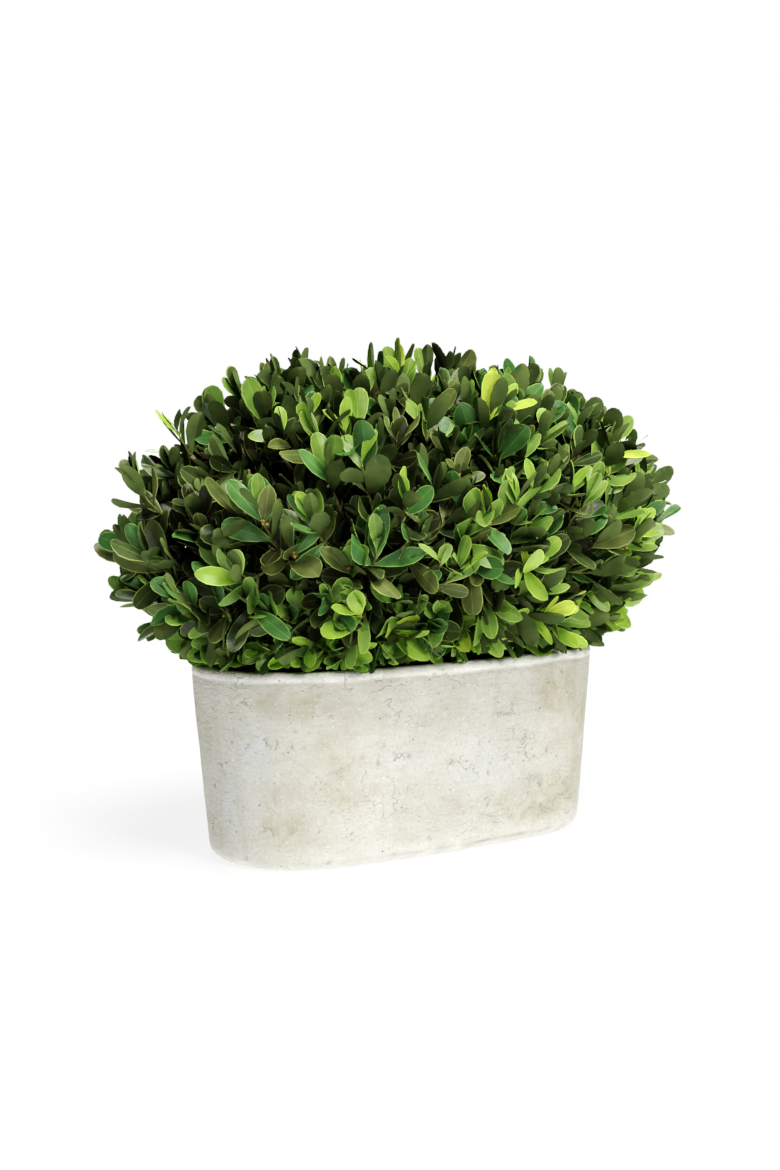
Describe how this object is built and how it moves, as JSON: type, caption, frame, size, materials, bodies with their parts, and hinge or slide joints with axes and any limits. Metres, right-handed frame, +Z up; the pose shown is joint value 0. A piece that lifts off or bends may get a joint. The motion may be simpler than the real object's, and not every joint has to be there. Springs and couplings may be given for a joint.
{
  "type": "potted boxwood",
  "caption": "Dense dome of boxwood foliage on a short hidden stem, growing in a low oval cement planter with rounded ends and a plain rim.",
  "frame": {"origin": "middle of the planter's flat underside", "axes": "+Z up from the underside to the crown, +X along the planter's long side, +Y across it"},
  "size_m": [0.3317, 0.2314, 0.2605],
  "materials": {
    "cement": "matte",
    "potting_mix": "matte",
    "bark": "matte",
    "foliage": "satin"
  },
  "bodies": {
    "root": {"pot": "cement", "fill": "potting_mix", "stem": "bark", "bough_low_1": "bark", "bough_low_2": "bark", "bough_low_3": "bark", "bough_low_4": "bark", "bough_low_5": "bark", "bough_low_6": "bark", "bough_low_7": "bark", "bough_low_8": "bark", "bough_high_1": "bark", "bough_high_2": "bark", "bough_high_3": "bark", "bough_high_4": "bark", "bough_high_5": "bark", "bough_top": "bark", "foliage_low_1": "foliage", "foliage_low_2": "foliage", "foliage_low_3": "foliage", "foliage_low_4": "foliage", "foliage_low_5": "foliage", "foliage_low_6": "foliage", "foliage_low_7": "foliage", "foliage_low_8": "foliage", "foliage_high_1": "foliage", "foliage_high_2": "foliage", "foliage_high_3": "foliage", "foliage_high_4": "foliage", "foliage_high_5": "foliage", "foliage_top": "foliage"}
  },
  "joints": []
}
